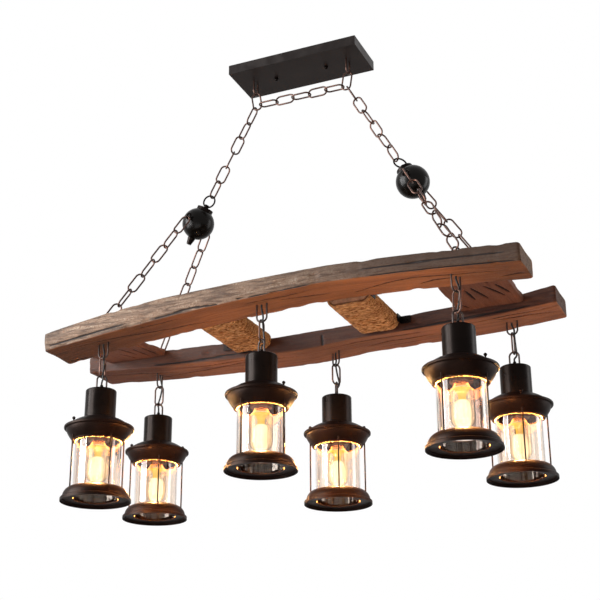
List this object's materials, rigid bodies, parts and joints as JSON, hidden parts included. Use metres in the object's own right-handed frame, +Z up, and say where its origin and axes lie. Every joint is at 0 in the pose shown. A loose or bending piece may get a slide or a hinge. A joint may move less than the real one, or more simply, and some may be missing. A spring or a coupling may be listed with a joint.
{
  "type": "ceiling light",
  "caption": "Rustic island ceiling light: a canopy and chains carry two curved driftwood beams joined by boards and twine-wound bars, with swinging glass lanterns below.",
  "frame": {"origin": "centre of the ceiling bar's top face, on the ceiling, above the middle of the canopy", "axes": "+X along the beams, to the right as seen from the front; +Y to the back; +Z up"},
  "size_m": [1.07, 0.419, 0.9763],
  "materials": {
    "black_metal": "satin black with a brown tint",
    "ball_black": "gloss black",
    "chain_bronze": "dark bronze, worn",
    "zinc_steel": "zinc plated",
    "front_driftwood": "weathered grey brown, rough",
    "back_driftwood": "weathered red brown, rough",
    "board_wood": "rough sawn",
    "core_wood": "plain",
    "twine": "natural twine",
    "clear_glass": "clear",
    "bulb_glass": "clear amber, lit"
  },
  "bodies": {
    "canopy": {"ceiling_bar": "zinc_steel", "canopy": "black_metal", "canopy_screws": "black_metal", "canopy_hooks": "chain_bronze"},
    "frame": {"spreader_chain": "chain_bronze", "upper_chain_left": "chain_bronze", "upper_chain_right": "chain_bronze", "ball_left": "ball_black", "ball_right": "ball_black", "ball_fittings": "black_metal", "lower_chains_left": "chain_bronze", "lower_chains_right": "chain_bronze", "front_beam": "front_driftwood", "back_beam": "back_driftwood", "end_board_left": "board_wood", "end_board_right": "board_wood", "cross_bar_left": "core_wood", "cross_bar_right": "core_wood", "twine_left": "twine", "twine_right": "twine", "beam_eyes": "chain_bronze", "lamp_staples": "chain_bronze", "bar_brackets": "black_metal"},
    "hanger_1": {"hanger_1": "chain_bronze"},
    "lantern_1": {"cup_1": "black_metal", "pan_1": "black_metal", "glass_1": "clear_glass", "cage_1": "black_metal", "bulb_1": "bulb_glass"},
    "hanger_2": {"hanger_2": "chain_bronze"},
    "lantern_2": {"cup_2": "black_metal", "pan_2": "black_metal", "glass_2": "clear_glass", "cage_2": "black_metal", "bulb_2": "bulb_glass"},
    "hanger_3": {"hanger_3": "chain_bronze"},
    "lantern_3": {"cup_3": "black_metal", "pan_3": "black_metal", "glass_3": "clear_glass", "cage_3": "black_metal", "bulb_3": "bulb_glass"},
    "hanger_4": {"hanger_4": "chain_bronze"},
    "lantern_4": {"cup_4": "black_metal", "pan_4": "black_metal", "glass_4": "clear_glass", "cage_4": "black_metal", "bulb_4": "bulb_glass"},
    "hanger_5": {"hanger_5": "chain_bronze"},
    "lantern_5": {"cup_5": "black_metal", "pan_5": "black_metal", "glass_5": "clear_glass", "cage_5": "black_metal", "bulb_5": "bulb_glass"},
    "hanger_6": {"hanger_6": "chain_bronze"},
    "lantern_6": {"cup_6": "black_metal", "pan_6": "black_metal", "glass_6": "clear_glass", "cage_6": "black_metal", "bulb_6": "bulb_glass"}
  },
  "joints": [
    {"name": "frame_swing", "type": "hinge", "parent": "canopy", "child": "frame", "pos_m": [0, 0, -0.05005], "axis": [1, 0, 0], "range_deg": [-10, 10]},
    {"name": "hanger_1_swing", "type": "hinge", "parent": "frame", "child": "hanger_1", "pos_m": [-0.384, -0.14, -0.67967], "axis": [1, 0, 0], "range_deg": [-10, 10]},
    {"name": "lantern_1_swing", "type": "hinge", "parent": "hanger_1", "child": "lantern_1", "pos_m": [-0.384, -0.14, -0.72022], "axis": [0, 1, 0], "range_deg": [-10, 10]},
    {"name": "hanger_2_swing", "type": "hinge", "parent": "frame", "child": "hanger_2", "pos_m": [-0.412, 0.14, -0.65892], "axis": [0, 1, 0], "range_deg": [-10, 10]},
    {"name": "lantern_2_swing", "type": "hinge", "parent": "hanger_2", "child": "lantern_2", "pos_m": [-0.412, 0.14, -0.69947], "axis": [-1, 0, 0], "range_deg": [-10, 10]},
    {"name": "hanger_3_swing", "type": "hinge", "parent": "frame", "child": "hanger_3", "pos_m": [-0.026, -0.14, -0.65576], "axis": [1, 0, 0], "range_deg": [-10, 10]},
    {"name": "lantern_3_swing", "type": "hinge", "parent": "hanger_3", "child": "lantern_3", "pos_m": [-0.026, -0.14, -0.69631], "axis": [0, 1, 0], "range_deg": [-10, 10]},
    {"name": "hanger_4_swing", "type": "hinge", "parent": "frame", "child": "hanger_4", "pos_m": [0.016, 0.14, -0.66624], "axis": [0.866, -0.5, 0], "range_deg": [-10, 10]},
    {"name": "lantern_4_swing", "type": "hinge", "parent": "hanger_4", "child": "lantern_4", "pos_m": [0.016, 0.14, -0.70679], "axis": [0.5, 0.866, 0], "range_deg": [-10, 10]},
    {"name": "hanger_5_swing", "type": "hinge", "parent": "frame", "child": "hanger_5", "pos_m": [0.3675, -0.14, -0.65766], "axis": [0.5, 0.866, 0], "range_deg": [-10, 10]},
    {"name": "lantern_5_swing", "type": "hinge", "parent": "hanger_5", "child": "lantern_5", "pos_m": [0.3675, -0.14, -0.69821], "axis": [-0.866, 0.5, 0], "range_deg": [-10, 10]},
    {"name": "hanger_6_swing", "type": "hinge", "parent": "frame", "child": "hanger_6", "pos_m": [0.399, 0.14, -0.65356], "axis": [1, 0, 0], "range_deg": [-10, 10]},
    {"name": "lantern_6_swing", "type": "hinge", "parent": "hanger_6", "child": "lantern_6", "pos_m": [0.399, 0.14, -0.69411], "axis": [0, 1, 0], "range_deg": [-10, 10]}
  ]
}
